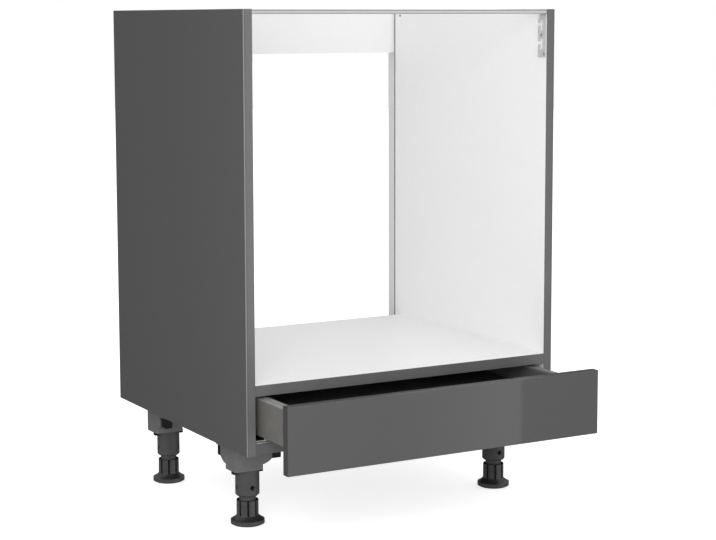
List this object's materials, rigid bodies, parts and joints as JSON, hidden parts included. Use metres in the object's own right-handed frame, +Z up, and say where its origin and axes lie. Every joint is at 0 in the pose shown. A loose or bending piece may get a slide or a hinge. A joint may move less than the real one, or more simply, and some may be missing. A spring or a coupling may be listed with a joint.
{
  "type": "oven housing unit",
  "caption": "Oven housing base unit with an open niche over a shelf, a shallow steel-sided drawer, steel front traverse, rear rail and adjustable plinth legs.",
  "frame": {"origin": "on the floor, under the middle of the unit's outline with the drawer standing open as stored", "axes": "+X to the unit's right as seen from the front, +Y to the rear, +Z up"},
  "size_m": [0.6, 0.68, 0.862],
  "materials": {
    "dark_board": "matt melamine facing, anthracite outside and white inside",
    "white_board": "matt white melamine facing",
    "drawer_board": "matt dark grey melamine facing",
    "edge_band": "satin anthracite edge band",
    "gloss_front": "high gloss anthracite lacquer",
    "drawer_steel": "fine matt grey powder coat",
    "zinc_steel": "bright zinc plated",
    "leg_plastic": "moulded, dark grey",
    "black_plastic": "moulded, black",
    "cage_plastic": "moulded, natural white",
    "soft_bumper": "soft, translucent grey",
    "beech": "plain fluted beech"
  },
  "bodies": {
    "carcass": {"side_panel_left": "dark_board", "side_panel_right": "dark_board", "side_edge_band_left": "edge_band", "side_edge_band_right": "edge_band", "bottom_panel": "dark_board", "bottom_edge_band": "edge_band", "oven_shelf": "white_board", "shelf_edge_band": "edge_band", "rear_rail": "white_board", "front_traverse": "zinc_steel", "traverse_bracket_left": "zinc_steel", "traverse_bracket_right": "zinc_steel", "bracket_screws": "zinc_steel", "cam_housings": "zinc_steel", "cam_bolts": "zinc_steel", "panel_dowels": "beech", "cabinet_rail_left": "zinc_steel", "cabinet_rail_right": "zinc_steel", "rail_screws": "zinc_steel", "socket_dowels": "black_plastic", "socket_screws": "zinc_steel", "leg_socket_front_left": "leg_plastic", "leg_socket_front_right": "leg_plastic", "leg_socket_rear_left": "leg_plastic", "leg_socket_rear_right": "leg_plastic", "leg_tube_front_left": "leg_plastic", "leg_tube_front_right": "leg_plastic", "leg_tube_rear_left": "leg_plastic", "leg_tube_rear_right": "leg_plastic"},
    "drawer": {"drawer_front": "gloss_front", "drawer_side_left": "drawer_steel", "drawer_side_right": "drawer_steel", "drawer_bottom": "drawer_board", "drawer_back": "drawer_board", "front_bracket_left": "zinc_steel", "front_bracket_right": "zinc_steel", "back_bracket_left": "zinc_steel", "back_bracket_right": "zinc_steel", "drawer_screws": "zinc_steel", "front_bumpers": "soft_bumper", "drawer_rail_left": "zinc_steel", "drawer_rail_right": "zinc_steel"},
    "middle_rail_left": {"middle_rail_left": "zinc_steel"},
    "lower_cage_left": {"lower_cage_left": "cage_plastic"},
    "upper_cage_left": {"upper_cage_left": "cage_plastic"},
    "middle_rail_right": {"middle_rail_right": "zinc_steel"},
    "lower_cage_right": {"lower_cage_right": "cage_plastic"},
    "upper_cage_right": {"upper_cage_right": "cage_plastic"},
    "foot_front_left": {"foot_pad_front_left": "leg_plastic"},
    "nut_front_left": {"adjuster_nut_front_left": "leg_plastic"},
    "foot_front_right": {"foot_pad_front_right": "leg_plastic"},
    "nut_front_right": {"adjuster_nut_front_right": "leg_plastic"},
    "foot_rear_left": {"foot_pad_rear_left": "leg_plastic"},
    "nut_rear_left": {"adjuster_nut_rear_left": "leg_plastic"},
    "foot_rear_right": {"foot_pad_rear_right": "leg_plastic"},
    "nut_rear_right": {"adjuster_nut_rear_right": "leg_plastic"}
  },
  "joints": [
    {"name": "drawer_slide", "type": "slide", "parent": "carcass", "child": "drawer", "axis": [0, -1, 0], "range_m": [-0.122, 0.328]},
    {"name": "middle_rail_slide_left", "type": "slide", "parent": "carcass", "child": "middle_rail_left", "axis": [0, -1, 0], "range_m": [-0.061, 0.164]},
    {"name": "lower_cage_slide_left", "type": "slide", "parent": "carcass", "child": "lower_cage_left", "axis": [0, -1, 0], "range_m": [-0.0305, 0.082]},
    {"name": "upper_cage_slide_left", "type": "slide", "parent": "carcass", "child": "upper_cage_left", "axis": [0, -1, 0], "range_m": [-0.0915, 0.246]},
    {"name": "middle_rail_slide_right", "type": "slide", "parent": "carcass", "child": "middle_rail_right", "axis": [0, -1, 0], "range_m": [-0.061, 0.164]},
    {"name": "lower_cage_slide_right", "type": "slide", "parent": "carcass", "child": "lower_cage_right", "axis": [0, -1, 0], "range_m": [-0.0305, 0.082]},
    {"name": "upper_cage_slide_right", "type": "slide", "parent": "carcass", "child": "upper_cage_right", "axis": [0, -1, 0], "range_m": [-0.0915, 0.246]},
    {"name": "foot_travel_front_left", "type": "slide", "parent": "carcass", "child": "foot_front_left", "axis": [0, 0, -1], "range_m": [-0.006, 0.014]},
    {"name": "nut_turn_front_left", "type": "hinge", "parent": "foot_front_left", "child": "nut_front_left", "pos_m": [-0.249, -0.095, 0.03], "axis": [0, 0, -1], "range_deg": [-540, 1260]},
    {"name": "foot_travel_front_right", "type": "slide", "parent": "carcass", "child": "foot_front_right", "axis": [0, 0, -1], "range_m": [-0.006, 0.014]},
    {"name": "nut_turn_front_right", "type": "hinge", "parent": "foot_front_right", "child": "nut_front_right", "pos_m": [0.249, -0.095, 0.03], "axis": [0, 0, -1], "range_deg": [-540, 1260]},
    {"name": "foot_travel_rear_left", "type": "slide", "parent": "carcass", "child": "foot_rear_left", "axis": [0, 0, -1], "range_m": [-0.006, 0.014]},
    {"name": "nut_turn_rear_left", "type": "hinge", "parent": "foot_rear_left", "child": "nut_rear_left", "pos_m": [-0.249, 0.235, 0.03], "axis": [0, 0, -1], "range_deg": [-540, 1260]},
    {"name": "foot_travel_rear_right", "type": "slide", "parent": "carcass", "child": "foot_rear_right", "axis": [0, 0, -1], "range_m": [-0.006, 0.014]},
    {"name": "nut_turn_rear_right", "type": "hinge", "parent": "foot_rear_right", "child": "nut_rear_right", "pos_m": [0.249, 0.235, 0.03], "axis": [0, 0, -1], "range_deg": [-540, 1260]}
  ],
  "couplings": [
    {"joint": "middle_rail_slide_left", "follows": "drawer_slide", "ratio": 0.5},
    {"joint": "lower_cage_slide_left", "follows": "drawer_slide", "ratio": 0.25},
    {"joint": "upper_cage_slide_left", "follows": "drawer_slide", "ratio": 0.75},
    {"joint": "middle_rail_slide_right", "follows": "drawer_slide", "ratio": 0.5},
    {"joint": "lower_cage_slide_right", "follows": "drawer_slide", "ratio": 0.25},
    {"joint": "upper_cage_slide_right", "follows": "drawer_slide", "ratio": 0.75},
    {"joint": "nut_turn_front_left", "follows": "foot_travel_front_left", "rad_per_m": 1570.8},
    {"joint": "nut_turn_front_right", "follows": "foot_travel_front_right", "rad_per_m": 1570.8},
    {"joint": "nut_turn_rear_left", "follows": "foot_travel_rear_left", "rad_per_m": 1570.8},
    {"joint": "nut_turn_rear_right", "follows": "foot_travel_rear_right", "rad_per_m": 1570.8}
  ]
}
